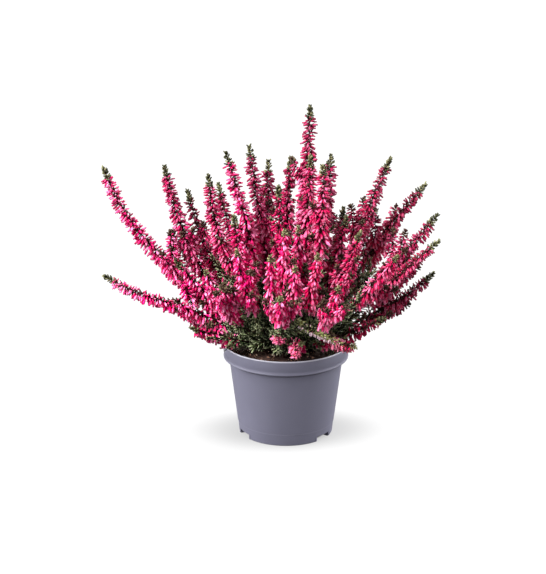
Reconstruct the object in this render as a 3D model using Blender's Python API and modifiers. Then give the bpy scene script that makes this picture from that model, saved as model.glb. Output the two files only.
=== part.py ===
"""A flowering heath in its nursery pot, 0.32 m tall and 0.32 m wide.

Metres, +Z up. The origin is the middle of the pot's foot, on the surface it stands on.
The front of the plant faces -Y. Every flower spray and leafy shoot is one closed body
that stands in its own hole in the soil.
"""

import math
import random

import bmesh
import bpy
import numpy as np

MM = 0.001
GAP = 0.3 * MM            # clearance between pieces that touch

# Pot: a moulded nursery pot with a collar, a foot line and three drained foot notches
POT_HEIGHT = 90 * MM
RIM_RADIUS = 60 * MM
COLLAR_HEIGHT = 14 * MM
COLLAR_TAPER = 0.7 * MM
COLLAR_BEAD = 0.35 * MM
SHOULDER_RADIUS = 54.6 * MM
FOOT_RADIUS = 45 * MM
FOOT_LINE_HEIGHT = 11.8 * MM
FOOT_LINE_STEP = 0.4 * MM
WALL = 1.4 * MM
FLOOR = 1.6 * MM
LIP = 0.6 * MM
POT_STEPS = 40
NOTCH_AZIMUTHS = (-37.5, -153.0, 85.6)   # degrees from +X
NOTCH_WIDTH = 18.5 * MM
NOTCH_HEIGHT = 5.2 * MM
NOTCH_DEPTH = 11 * MM
DRAIN_RADIUS = 3 * MM
DRAIN_INSET = 6.5 * MM    # from the foot's radius to the middle of a drain hole
DRAIN_SIDES = 10
CUT_PAST = 5 * MM         # how far a cutter reaches out past the foot
CUT_BELOW = 2 * MM        # and below it

FOOT_SPREAD = 27 * MM     # how far from the middle the outermost stems stand in the soil

# Soil: fills the pot to just under the rim
SOIL_TOP = 81 * MM
SOIL_CROWN = 2.5 * MM     # how much higher the middle is
SOIL_FLAT = FOOT_SPREAD + 8 * MM    # radius of the nearly flat middle
SOIL_EDGES = (0.7, -0.4)  # heights at the flat's edge and at the wall, as shares of the crown
SOIL_STEPS = 24
HOLE_DEPTH = 8 * MM
HOLE_SIDES = 4

# Stems: each one leaves the soil close to the middle and bends out to its own tip
FOOT_PITCH = 6.6 * MM     # least distance between two stems
FOOT_ROUNDS = 600
FOOT_PUSH = 0.3           # share of a missing distance that a round makes good
LEAST_REACH = 0.02        # of the furthest tip's, for the stems nearest to the middle
STEM_FOOT = 1.35 * MM     # radius at the soil
STEM_TIP = 0.8 * MM
FOOT_HEIGHT = SOIL_TOP + SOIL_CROWN + 1 * MM
STEM_HANDLE = 0.36        # length of a curve's handles, as a share of its chord
STEM_SAMPLES = 18
STEM_ROUNDS = 70          # rounds of pushing the stems apart
STEM_PUSH = 0.16
CROWD_FROM = 12 * MM      # from the foot to where a stem starts to ask for more room
STEM_CLEAR = 5.5 * MM     # least distance of two stems low down
SPRAY_CLEAR = 17 * MM     # and where they carry flowers
CURVE_STEPS = 80
TINY = 1e-9               # keeps a distance from being nothing

# Flowers: three to a band, each one a hanging drop; larger than life so that they cover
FLOWER_BAND = 11 * MM
FLOWER_LENGTH = 10.5 * MM
FLOWER_HALF_WIDTH = 2.6 * MM
FLOWER_BELLY = 0.5        # place of the widest part, as a share of the length
FLOWER_LIFT = 1.6 * MM    # the belly sits this much higher than the flower's middle line
FLOWER_DROOP = 1.15       # how strongly the lowest flowers hang, against standing straight out
DROOP_LOSS = 0.6          # share of the droop that is gone at the tip of a spray
FLOWER_BACK = 0.15        # how far a flower leans back towards the foot
FLOWER_START = 44 * MM    # stem length that carries no flowers
START_SHARE = 0.42        # the same on a short stem, as a share of its length
FULLNESS_EFFECT = 0.25    # share of a flower's size that a sparse spray loses
TAPER = (1.3, 0.75)       # size of the flowers at the start, cut off at 1, and what the tip loses
CORNER_TURN = 0.77        # where a flower faces between two corners of the stem
BAND_TURN = 67            # degrees from one ring of the stem to the next
BARE_RINGS = (0.36, 0.7)  # rings of the bare stretch, as shares of it
TUFT_LENGTH = 11 * MM     # green needles at the tip of each spray
TUFT_RING = 0.42          # the ring in the tuft, as a share of it
TUFT_LEAN = 1.1           # how far a needle follows the stem in the tuft, against straight out
NEEDLE_LEAN = 0.7         # and elsewhere
NEEDLE_BAND = 6.5 * MM
NEEDLE_LENGTH = 8 * MM
NEEDLE_START = 14 * MM    # stem length of a leafy shoot that carries no needles
NEEDLE_END = 2 * MM       # and at its tip
END_SHORT = 0.5 * MM      # the last ring stands this much before the stem's end
UNEVEN = 0.14             # share by which flowers differ from each other
SAME = 1 * MM             # distances along a stem closer than this are one

# Room: flowers and needles are kept clear of their neighbours by balls that cover them
FIT_SIZES = (1.0, 0.8, 0.6)   # sizes tried for a flower or needle
FIT_CLEAR = 0.45 * MM
REACH_OF_TEST = 16 * MM
BALL_SHARES = (0.12, 0.34, 0.56, 0.78, 0.96)   # along each edge, from the root to the tip
BALL_RADIUS = 0.6 * MM
BALL_TAPER = 0.75         # share of the radius that is gone at the tip
BELLY_SHARES = (0.5, 1.0)     # of the way from the root to the belly
BELLY_TO_TIP = 0.45
BELLY_RADII = (0.75, 1.05, 0.72)   # of half the width
BALLS_OF_BAND = 7
BALLS_OF_GROWTH = 40      # at most, with its share of the stem's own
RIM_BESIDE = 4 * MM       # a flower this close inside the rim, or a little past it, stays over it
RIM_PAST = 1 * MM
SOIL_SINK = 0.5 * MM      # how far under a stem's foot a needle may reach

# Tip of each flower spray in millimetres, its lean from upright in degrees at the soil and
# at the tip, and how full it is
FLOWER_SPRAYS = [
    (-168, -10, 261, 37, 19, 1.0),
    (-168, -28, 163, 42, 50, 0.8),
    (-113, 6, 259, 46, 10, 1.0),
    (-93, 28, 230, 36, 10, 0.7),
    (-72, -5, 253, 26, 4, 1.0),
    (-55, -22, 278, 3, 18, 1.0),
    (-34, 6, 278, 3, 6, 0.9),
    (-17, 28, 259, 6, 4, 0.9),
    (-7, -30, 248, 6, 14, 0.7),
    (4, 14, 265, 4, 4, 0.9),
    (22, 12, 314, 0, 5, 1.0),
    (22, -20, 274, 10, 2, 1.0),
    (33, -34, 270, 20, 0, 1.0),
    (42, 20, 266, 16, 4, 1.0),
    (96, 5, 266, 30, 24, 1.0),
    (131, 25, 237, 34, 44, 0.9),
    (140, -5, 215, 38, 36, 0.9),
    (139, -32, 197, 50, 44, 0.8),
    (137, -16, 162, 44, 48, 0.8),
    (54, 48, 194, 30, 20, 0.8),
    (-2, -62, 217, 20, 14, 1.0),
    (11, -46, 216, 16, 10, 1.0),
    (-45, -72, 201, 30, 12, 1.0),
    (-15, -88, 200, 30, 16, 1.0),
    (7, -104, 195, 36, 26, 0.9),
    (-73, -72, 182, 40, 22, 1.0),
    (46, -96, 174, 44, 30, 0.9),
    (-6, -118, 171, 38, 42, 0.9),
    (-102, -30, 179, 40, 26, 0.9),
    (-48, -40, 223, 24, 8, 0.7),
    (55, -22, 218, 24, 10, 0.9),
    (67, -40, 208, 32, 20, 1.0),
    (101, -52, 190, 42, 34, 0.9),
    (28, -74, 198, 28, 14, 1.0),
    (92, -34, 124, 46, 72, 0.7),
    (64, -66, 106, 30, 104, 0.6),
    (13, -72, 112, 34, 76, 0.7),
    (-95, -14, 120, 46, 66, 0.6),
    (-88, -50, 120, 44, 60, 0.7),
]

# The far side repeats the near side's habit: (count, reach, tip height, lean at soil, at tip)
BACK_ROWS = [
    (6, 126, 172, 44, 36),
    (4, 72, 224, 22, 12),
]
BACK_SECTOR = (20, 160)   # degrees from +X
BACK_TURN = 5             # largest shift of an azimuth, in degrees
BACK_REACHES = (0.88, 1.06)   # shares of the row's reach
BACK_RISE = 14            # largest shift of a tip's height, in millimetres
BACK_FULLNESS = (0.8, 1.0)
BACK_SEED = 11

# Leafy shoots: tip in millimetres, lean at the soil and at the tip, length of the needles
LEAFY_SHOOTS = [
    (68, -62, 160, 40, 24, 1.0),
    (-73, -64, 115, 48, 80, 0.9),
    (-30, -56, 103, 30, 112, 1.1),
    (-8, -60, 101, 40, 100, 0.8),
    (72, 30, 116, 44, 66, 1.0),
    (-78, 48, 126, 44, 66, 1.0),
    (-20, 92, 122, 40, 70, 1.0),
    (48, 80, 118, 40, 74, 1.0),
]


def clear_scene():
    for thing in list(bpy.data.objects):
        bpy.data.objects.remove(thing, do_unlink=True)


def make_collection(name):
    collection = bpy.data.collections.new(name)
    bpy.context.scene.collection.children.link(collection)
    return collection


def make_material(name, colour, roughness):
    material = bpy.data.materials.new(name)
    material.use_nodes = True
    shader = material.node_tree.nodes["Principled BSDF"]
    shader.inputs["Base Color"].default_value = (*colour, 1.0)
    shader.inputs["Roughness"].default_value = roughness
    shader.inputs["Metallic"].default_value = 0.0
    return material


def add_object(name, mesh, collection, materials=()):
    thing = bpy.data.objects.new(name, mesh)
    collection.objects.link(thing)
    for material in materials:
        mesh.materials.append(material)
    return thing


def turned(name, profile, steps, collection, materials=()):
    """Turn a profile of (radius, height) points about Z."""
    mesh = bpy.data.meshes.new(name)
    edges = [(i, i + 1) for i in range(len(profile) - 1)]
    mesh.from_pydata([(radius, 0.0, height) for radius, height in profile], edges, [])
    thing = add_object(name, mesh, collection, materials)
    screw = thing.modifiers.new("turn", "SCREW")
    screw.steps = steps
    screw.render_steps = steps
    screw.use_merge_vertices = True
    screw.merge_threshold = 0.00001
    return thing


def add_boolean(thing, cutter, operation):
    modifier = thing.modifiers.new(operation.lower(), "BOOLEAN")
    modifier.operation = operation
    modifier.object = cutter
    modifier.solver = "EXACT"


def as_cutter(thing):
    thing.hide_render = True
    thing.display_type = "WIRE"
    return thing


def notch_blocks(name, margin, reach, collection):
    """Three blocks round the foot, one at each notch, grown by a margin on every side.

    They run from below the foot up to the notch's height, and outward as far as reach.
    """
    bm = bmesh.new()
    inner = FOOT_RADIUS - NOTCH_DEPTH - margin
    bottom = -CUT_BELOW
    top = NOTCH_HEIGHT + margin
    for azimuth in NOTCH_AZIMUTHS:
        block = bmesh.ops.create_cube(bm, size=1.0)["verts"]
        bmesh.ops.scale(bm, verts=block, vec=(reach - inner, NOTCH_WIDTH + 2 * margin, top - bottom))
        bmesh.ops.translate(bm, verts=block, vec=((reach + inner) / 2, 0, (top + bottom) / 2))
        turn = math.radians(azimuth)
        matrix = np.array([[math.cos(turn), -math.sin(turn), 0],
                           [math.sin(turn), math.cos(turn), 0], [0, 0, 1]])
        for vertex in block:
            vertex.co = matrix @ np.array(vertex.co)
    mesh = bpy.data.meshes.new(name)
    bm.to_mesh(mesh)
    bm.free()
    return as_cutter(add_object(name, mesh, collection))


def drain_holes(collection):
    """One round drain through the roof of each notch."""
    bm = bmesh.new()
    radius = FOOT_RADIUS - DRAIN_INSET
    for azimuth in NOTCH_AZIMUTHS:
        turn = math.radians(azimuth)
        rod = bmesh.ops.create_cone(bm, cap_ends=True, segments=DRAIN_SIDES, radius1=DRAIN_RADIUS,
                                    radius2=DRAIN_RADIUS, depth=2 * NOTCH_HEIGHT)["verts"]
        bmesh.ops.translate(bm, verts=rod, vec=(radius * math.cos(turn), radius * math.sin(turn),
                                                NOTCH_HEIGHT))
    mesh = bpy.data.meshes.new("drain_holes")
    bm.to_mesh(mesh)
    bm.free()
    return as_cutter(add_object("drain_holes", mesh, collection))


def wall_radius(height):
    """Outer radius of the tapered wall at a height."""
    shoulder = POT_HEIGHT - COLLAR_HEIGHT
    return FOOT_RADIUS + (SHOULDER_RADIUS - FOOT_RADIUS) * height / shoulder


def make_pot(collection, cutters, material):
    """Turn the pot's wall, then raise, hollow and drain its foot notches."""
    shoulder = POT_HEIGHT - COLLAR_HEIGHT
    collar = RIM_RADIUS - COLLAR_TAPER
    profile = [
        (0.0, FLOOR),
        (wall_radius(FLOOR) - WALL, FLOOR),
        (SHOULDER_RADIUS - WALL, shoulder + WALL),
        (collar - WALL, shoulder + WALL),
        (RIM_RADIUS - WALL, POT_HEIGHT - LIP),
        (RIM_RADIUS - WALL + LIP / 2, POT_HEIGHT),
        (RIM_RADIUS - LIP / 2, POT_HEIGHT),
        (RIM_RADIUS, POT_HEIGHT - LIP),
        (collar, shoulder + 2 * COLLAR_BEAD),
        (collar + COLLAR_BEAD, shoulder + COLLAR_BEAD),
        (collar, shoulder),
        (SHOULDER_RADIUS, shoulder),
        (wall_radius(FOOT_LINE_HEIGHT), FOOT_LINE_HEIGHT),
        (wall_radius(FOOT_LINE_HEIGHT) - FOOT_LINE_STEP, FOOT_LINE_HEIGHT - FOOT_LINE_STEP),
        (FOOT_RADIUS, 0.0),
        (0.0, 0.0),
    ]
    pot = turned("pot", profile, POT_STEPS, collection, [material])
    roofs = notch_blocks("notch_roofs", FLOOR, FOOT_RADIUS - WALL / 2, cutters)
    hollows = notch_blocks("notch_hollows", 0.0, FOOT_RADIUS + CUT_PAST, cutters)
    for vertex in roofs.data.vertices:
        vertex.co.z = max(vertex.co.z, FLOOR / 2)
    add_boolean(pot, roofs, "UNION")
    add_boolean(pot, hollows, "DIFFERENCE")
    add_boolean(pot, drain_holes(cutters), "DIFFERENCE")
    return pot


def spread_feet(azimuths, reaches):
    """Feet of the stems on the soil: far tips stand further out, none closer than the pitch."""
    radii = FOOT_SPREAD * np.sqrt(np.clip(reaches / reaches.max(), LEAST_REACH, 1.0))
    feet = np.stack([radii * np.cos(azimuths), radii * np.sin(azimuths)], 1)
    for _ in range(FOOT_ROUNDS):
        offsets = feet[:, None] - feet[None]
        distances = np.linalg.norm(offsets, axis=2) + np.eye(len(feet))
        push = np.clip(FOOT_PITCH - distances, 0, None) * (1 - np.eye(len(feet)))
        feet = feet + FOOT_PUSH * (offsets / distances[..., None] * push[..., None]).sum(1)
    return feet


def leaning(azimuths, leans):
    """Unit directions that lean from upright towards their azimuth."""
    flat = np.sin(np.radians(leans))
    return np.stack([flat * np.cos(azimuths), flat * np.sin(azimuths), np.cos(np.radians(leans))], 1)


def bernstein(fractions):
    """Weights of a cubic curve's four control points, one row for each fraction."""
    u = np.asarray(fractions)[:, None]
    return np.hstack([(1 - u) ** 3, 3 * u * (1 - u) ** 2, 3 * u * u * (1 - u), u ** 3])


def stem_controls(tips, foot_leans, tip_leans):
    """Control points of every stem's cubic curve, pushed apart until the sprays have room.

    Only the two inner control points move, so the feet and the tips stay where they are.
    """
    azimuths = np.arctan2(tips[:, 1], tips[:, 0])
    reaches = np.hypot(tips[:, 0], tips[:, 1])
    feet = np.column_stack([spread_feet(azimuths, reaches), np.full(len(tips), FOOT_HEIGHT)])
    outward = np.arctan2(tips[:, 1] - feet[:, 1], tips[:, 0] - feet[:, 0])
    handles = STEM_HANDLE * np.linalg.norm(tips - feet, axis=1)[:, None]
    inner = feet + handles * leaning(outward, foot_leans)
    outer = tips - handles * leaning(outward, tip_leans)
    controls = np.stack([feet, inner, outer, tips], 1)

    weights = bernstein(np.linspace(0, 1, STEM_SAMPLES))
    owner = np.repeat(np.arange(len(tips)), STEM_SAMPLES)
    others = owner[:, None] != owner[None]
    for _ in range(STEM_ROUNDS):
        points = np.einsum("sk,nkd->nsd", weights, controls)
        height = np.linalg.norm(points - feet[:, None], axis=2).ravel()
        share = np.clip((height - CROWD_FROM) / FLOWER_START, 0, 1)
        room = STEM_CLEAR + (SPRAY_CLEAR - STEM_CLEAR) * np.minimum(share[:, None], share[None])
        flat = points.reshape(-1, 3)
        offsets = flat[:, None] - flat[None]
        distances = np.linalg.norm(offsets, axis=2) + TINY
        push = np.where(others, np.clip(room - distances, 0, None), 0.0)
        moves = (offsets / distances[..., None] * push[..., None]).sum(1)
        moves = moves.reshape(len(tips), STEM_SAMPLES, 3)
        for control in (1, 2):
            weight = weights[:, control]
            pushed = np.einsum("s,nsd->nd", weight, moves) / weight.sum()
            controls[:, control] += STEM_PUSH * pushed
    return controls


def back_sprays():
    """Tips of the sprays on the far side, spread over a sector with a seeded draw."""
    draw = random.Random(BACK_SEED)
    sprays = []
    for count, reach, height, foot_lean, tip_lean in BACK_ROWS:
        for i in range(count):
            share = (i + 0.5) / count
            azimuth = BACK_SECTOR[0] + (BACK_SECTOR[1] - BACK_SECTOR[0]) * share
            azimuth = math.radians(azimuth + draw.uniform(-BACK_TURN, BACK_TURN))
            far = reach * draw.uniform(*BACK_REACHES)
            rise = height + draw.uniform(-BACK_RISE, BACK_RISE)
            sprays.append((far * math.cos(azimuth), far * math.sin(azimuth), rise,
                           foot_lean, tip_lean, draw.uniform(*BACK_FULLNESS)))
    return sprays


class Stem:
    """A three-sided stem along a cubic curve, with the bands that its flowers grow from."""

    def __init__(self, name, controls, fullness, leafy):
        self.name = name
        self.controls = controls
        self.fullness = fullness
        self.leafy = leafy
        fractions = np.linspace(0, 1, CURVE_STEPS)
        line = bernstein(fractions) @ controls
        steps = np.linalg.norm(np.diff(line, axis=0), axis=1)
        self.along = np.concatenate([[0], np.cumsum(steps)])
        self.fractions = fractions
        self.length = self.along[-1]
        away = controls[3, :2] - controls[0, :2]
        away = away / np.linalg.norm(away)
        self.level = np.array([-away[1], away[0], 0.0])
        self.rings = self.place_rings()
        self.draw = random.Random(name)
        self.growths = []

    def place_rings(self):
        """Distances along the stem of the rings: plain, then flowers or needles, then a tuft."""
        if self.leafy:
            self.first = NEEDLE_START
            self.last = self.length - NEEDLE_END
            growing = self.even_steps(NEEDLE_BAND)
            return np.array([-HOLE_DEPTH, 0.0, *growing, self.length - END_SHORT])
        self.first = min(FLOWER_START, START_SHARE * self.length)
        self.last = self.length - TUFT_LENGTH
        bare = [share * self.first for share in BARE_RINGS]
        return np.array([-HOLE_DEPTH, 0.0, *bare, *self.even_steps(FLOWER_BAND),
                         self.last + TUFT_RING * TUFT_LENGTH, self.length - END_SHORT])

    def even_steps(self, step):
        """Distances from the first growth to the last one, about a step apart."""
        count = max(2, round((self.last - self.first) / step))
        return np.linspace(self.first, self.last, count + 1)

    def point(self, distance):
        if distance < 0:
            return self.controls[0] + np.array([0, 0, distance])
        return (bernstein([np.interp(distance, self.along, self.fractions)]) @ self.controls)[0]

    def tangent(self, distance):
        if distance < 0:
            return np.array([0.0, 0.0, 1.0])
        u = np.interp(distance, self.along, self.fractions)
        c = self.controls
        slope = (1 - u) ** 2 * (c[1] - c[0]) + 2 * u * (1 - u) * (c[2] - c[1]) + u * u * (c[3] - c[2])
        return slope / np.linalg.norm(slope)

    def radius(self, distance):
        share = min(max(distance / self.length, 0.0), 1.0)
        return STEM_FOOT + (STEM_TIP - STEM_FOOT) * share

    def radial(self, distance, angle):
        """Direction out of the stem at an angle about it."""
        tangent = self.tangent(distance)
        side = self.level - (self.level @ tangent) * tangent
        side = side / np.linalg.norm(side)
        return math.cos(angle) * side + math.sin(angle) * np.cross(tangent, side)

    def ring_points(self, index):
        """Corners of a ring; each ring is turned a little over 60 degrees from the one below."""
        distance = self.rings[index]
        centre = self.point(distance)
        size = self.radius(distance)
        angles = [math.radians(BAND_TURN * index + 120 * j) for j in range(3)]
        return [centre + size * self.radial(distance, angle) for angle in angles]

    def plan(self):
        """List every flower and needle as (band, corner, kind, size) from tip to foot."""
        for band in range(len(self.rings) - 2, 1, -1):
            low = self.rings[band]
            share = (low - self.first) / (self.last - self.first)
            for corner in range(3):
                size = self.draw.uniform(1 - UNEVEN, 1 + UNEVEN)
                if self.leafy or not self.first - SAME < low < self.last - SAME:
                    yield band, corner, "needle", size
                else:
                    size *= 1 - FULLNESS_EFFECT * (1 - self.fullness)
                    yield band, corner, "flower", size * min(1.0, TAPER[0] - TAPER[1] * share)

    def grow(self, band, corner, kind, size):
        """Outer corners of a flower or needle, and the corners of the stem face it leaves."""
        low, high = self.ring_points(band), self.ring_points(band + 1)
        roots = np.array([low[(corner + 1) % 3], high[(corner + 1) % 3], high[corner]])
        middle = roots.mean(0)
        distance = (self.rings[band] + 2 * self.rings[band + 1]) / 3
        angle = math.radians(BAND_TURN * (band + 0.5) + 120 * (corner + CORNER_TURN))
        tangent = self.tangent(distance)
        out = self.radial(distance, angle)
        if kind == "needle":
            heading = out + (TUFT_LEAN if distance > self.last else NEEDLE_LEAN) * tangent
            heading = heading / np.linalg.norm(heading)
            return [middle + size * NEEDLE_LENGTH * self.fullness * heading], roots
        share = (distance - self.first) / (self.last - self.first)
        droop = FLOWER_DROOP * (1 - DROOP_LOSS * share) * (1 - max(0.0, out[2]))
        heading = out - FLOWER_BACK * tangent - np.array([0, 0, droop])
        heading = heading / np.linalg.norm(heading)
        length = size * FLOWER_LENGTH
        belly = middle + FLOWER_BELLY * length * heading + size * FLOWER_LIFT * tangent
        half = size * FLOWER_HALF_WIDTH * np.cross(tangent, out)
        return [middle + length * heading, belly + half, belly - half], roots


def guard_balls(corners, roots, kind):
    """Balls that cover a flower or needle, for keeping it clear of its neighbours.

    The roots are the three corners of the stem face that it is pulled out of.
    """
    tip = corners[0]
    starts = np.vstack([roots, roots.mean(0)])
    shares = np.array(BALL_SHARES)
    centres = starts[:, None] + shares[None, :, None] * (tip - starts)[:, None]
    centres = centres.reshape(-1, 3)
    radii = np.tile(BALL_RADIUS * (1 - BALL_TAPER * shares), len(starts))
    if kind != "flower":
        return centres, radii
    belly = (corners[1] + corners[2]) / 2
    half = np.linalg.norm(corners[1] - corners[2]) / 2
    body = [starts[-1] + share * (belly - starts[-1]) for share in BELLY_SHARES]
    body.append(belly + BELLY_TO_TIP * (tip - belly))
    return np.vstack([centres, body]), np.concatenate([radii, half * np.array(BELLY_RADII)])


def stem_balls(stem):
    """Balls along the stem itself."""
    centres, radii = [], []
    for low, high in zip(stem.rings[:-1], stem.rings[1:]):
        a, b = stem.point(low), stem.point(high)
        for share in np.linspace(0, 1, BALLS_OF_BAND):
            centres.append(a + share * (b - a))
            radii.append(stem.radius(low))
    return np.array(centres), np.array(radii)


class Neighbours:
    """Balls that stand for everything grown so far, each with the stem that owns it."""

    def __init__(self, room):
        self.centres = np.zeros((room, 3))
        self.radii = np.zeros(room)
        self.owners = np.full(room, -1)
        self.count = 0

    def add(self, owner, centres, radii):
        end = self.count + len(radii)
        self.centres[self.count:end] = centres
        self.radii[self.count:end] = radii
        self.owners[self.count:end] = owner
        self.count = end

    def is_clear(self, owner, centres, radii):
        """Whether some balls keep their distance from other stems, the rim and the soil."""
        middle = centres.mean(0)
        offsets = np.abs(self.centres[:self.count] - middle).max(1)
        near = (offsets < REACH_OF_TEST) & (self.owners[:self.count] != owner)
        if near.any():
            gaps = np.linalg.norm(centres[:, None] - self.centres[:self.count][near], axis=2)
            gaps = gaps - radii[:, None] - self.radii[:self.count][near]
            if gaps.min() < FIT_CLEAR:
                return False
        away = np.hypot(centres[:, 0], centres[:, 1])
        past = RIM_RADIUS + RIM_PAST
        over_rim = (away > RIM_RADIUS - WALL - RIM_BESIDE) & (away < past + radii)
        lowest = np.where(over_rim, POT_HEIGHT + RIM_PAST, FOOT_HEIGHT - SOIL_SINK)
        lowest = np.where(away > past, POT_HEIGHT - COLLAR_HEIGHT, lowest)
        return bool((centres[:, 2] - radii > lowest).all())


def keep_what_fits(stems):
    """Give every stem the flowers and needles that stay clear of all its neighbours.

    The stems take turns, each from its tip down, so that the outside fills first.
    """
    plans = [list(stem.plan()) for stem in stems]
    neighbours = Neighbours(BALLS_OF_GROWTH * sum(len(plan) for plan in plans))
    for index, stem in enumerate(stems):
        neighbours.add(index, *stem_balls(stem))
    for turn in range(max(len(plan) for plan in plans)):
        for index, stem in enumerate(stems):
            if turn >= len(plans[index]):
                continue
            band, corner, kind, size = plans[index][turn]
            for fit in FIT_SIZES:
                corners, roots = stem.grow(band, corner, kind, size * fit)
                centres, radii = guard_balls(corners, roots, kind)
                if neighbours.is_clear(index, centres, radii):
                    neighbours.add(index, centres, radii)
                    stem.growths.append((band, corner, kind, corners))
                    break


def make_stem(stem, collection, materials):
    """Loft the stem through its rings, then pull its flowers and needles out of its faces."""
    bm = bmesh.new()
    rings = [[bm.verts.new(point) for point in stem.ring_points(i)] for i in range(len(stem.rings))]
    hanging = {}
    for band in range(len(rings) - 1):
        low, high = rings[band], rings[band + 1]
        for j in range(3):
            k = (j + 1) % 3
            bm.faces.new((low[j], low[k], high[j]))
            hanging[band, j] = bm.faces.new((low[k], high[k], high[j]))
    bm.faces.new(rings[0][::-1])
    bm.faces.new(rings[-1])
    for face in bm.faces:
        face.material_index = 1
    for band, corner, kind, corners in stem.growths:
        root = hanging[band, corner]
        if kind == "flower":
            pulled = bmesh.ops.extrude_discrete_faces(bm, faces=[root])["faces"][0]
            for loop, place in zip(pulled.loops, corners):
                loop.vert.co = place
            for vertex in pulled.verts:
                for face in vertex.link_faces:
                    face.material_index = 0
        else:
            poked = bmesh.ops.poke(bm, faces=[root])
            poked["verts"][0].co = corners[0]
            for face in poked["faces"]:
                face.material_index = 2
    bmesh.ops.triangulate(bm, faces=bm.faces[:])
    mesh = bpy.data.meshes.new(stem.name)
    bm.to_mesh(mesh)
    bm.free()
    return add_object(stem.name, mesh, collection, materials)


def make_stems():
    """Work out every stem, flower sprays first and then leafy shoots."""
    flowers = [*FLOWER_SPRAYS, *back_sprays()]
    table = np.array([*flowers, *LEAFY_SHOOTS], float)
    controls = stem_controls(table[:, :3] * MM, table[:, 3], table[:, 4])
    stems = []
    for index, row in enumerate(table):
        leafy = index >= len(flowers)
        number = index - len(flowers) + 1 if leafy else index + 1
        name = f"leafy_shoot_{number:02d}" if leafy else f"flower_spray_{number:02d}"
        stems.append(Stem(name, controls[index], row[5], leafy))
    keep_what_fits(stems)
    return stems


def stem_holes(stems, collection):
    """Many-sided rods along the foot of every stem, a little wider than the stem."""
    bm = bmesh.new()
    depth = 2 * (HOLE_DEPTH + GAP)
    radius = (STEM_FOOT + GAP) / math.cos(math.pi / HOLE_SIDES)
    for stem in stems:
        rod = bmesh.ops.create_cone(bm, cap_ends=True, segments=HOLE_SIDES, radius1=radius,
                                    radius2=radius, depth=depth)["verts"]
        bmesh.ops.translate(bm, verts=rod, vec=stem.controls[0])
    mesh = bpy.data.meshes.new("stem_holes")
    bm.to_mesh(mesh)
    bm.free()
    return as_cutter(add_object("stem_holes", mesh, collection))


def make_soil(stems, collection, cutters, material):
    """Fill the pot, with a hole for every stem and room for the notches' roofs."""
    bottom = FLOOR + GAP
    ledge = POT_HEIGHT - COLLAR_HEIGHT + WALL + GAP
    beside = WALL + 2 * GAP    # from the pot's outside to the soil
    collar = RIM_RADIUS - COLLAR_TAPER - beside
    profile = [
        (0.0, SOIL_TOP + SOIL_CROWN),
        (SOIL_FLAT, SOIL_TOP + SOIL_CROWN * SOIL_EDGES[0]),
        (collar, SOIL_TOP + SOIL_CROWN * SOIL_EDGES[1]),
        (collar, ledge),
        (SHOULDER_RADIUS - beside, ledge),
        (wall_radius(bottom) - beside, bottom),
        (0.0, bottom),
    ]
    soil = turned("soil", profile, SOIL_STEPS, collection, [material])
    pockets = notch_blocks("soil_pockets", FLOOR + GAP, FOOT_RADIUS + CUT_PAST, cutters)
    add_boolean(soil, pockets, "DIFFERENCE")
    add_boolean(soil, stem_holes(stems, cutters), "DIFFERENCE")
    return soil


def main():
    clear_scene()
    plant = make_collection("potted_heather")
    cutters = make_collection("cutters")
    pot_plastic = make_material("pot plastic", (0.20, 0.20, 0.25), 0.5)
    peat = make_material("peat", (0.045, 0.026, 0.018), 0.95)
    petal = make_material("petal", (0.78, 0.045, 0.22), 0.5)
    bark = make_material("bark", (0.16, 0.075, 0.05), 0.8)
    leaf = make_material("leaf", (0.10, 0.16, 0.055), 0.6)

    stems = make_stems()
    make_pot(plant, cutters, pot_plastic)
    make_soil(stems, plant, cutters, peat)
    for stem in stems:
        make_stem(stem, plant, [petal, bark, leaf])


main()
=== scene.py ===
import math
import random

import bpy
import numpy as np
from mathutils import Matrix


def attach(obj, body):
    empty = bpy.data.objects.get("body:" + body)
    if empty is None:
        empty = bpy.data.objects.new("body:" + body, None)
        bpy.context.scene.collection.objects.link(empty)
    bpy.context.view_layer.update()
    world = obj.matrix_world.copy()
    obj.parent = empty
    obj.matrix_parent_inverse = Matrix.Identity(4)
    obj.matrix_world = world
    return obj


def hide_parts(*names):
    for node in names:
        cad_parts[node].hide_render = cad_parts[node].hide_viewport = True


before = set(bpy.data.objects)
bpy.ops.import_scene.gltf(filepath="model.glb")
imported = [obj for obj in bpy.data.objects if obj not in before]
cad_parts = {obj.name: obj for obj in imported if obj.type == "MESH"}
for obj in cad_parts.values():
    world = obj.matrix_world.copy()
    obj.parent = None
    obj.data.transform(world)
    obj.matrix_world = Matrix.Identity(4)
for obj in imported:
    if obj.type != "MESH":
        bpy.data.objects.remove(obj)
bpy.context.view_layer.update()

# A winter heath in its nursery pot. Lengths in the dictionaries are millimetres, angles degrees;
# meshes are in metres.
mm = 0.001
upward = np.array([0.0, 0.0, 1.0])
goldenTurn = 137.508


def addObject(name, data):
    made = bpy.data.objects.new(name, data)
    bpy.context.scene.collection.objects.link(made)
    return made


# Nodes: one short way to add and join them, for the sky, the floor and every finish

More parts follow.
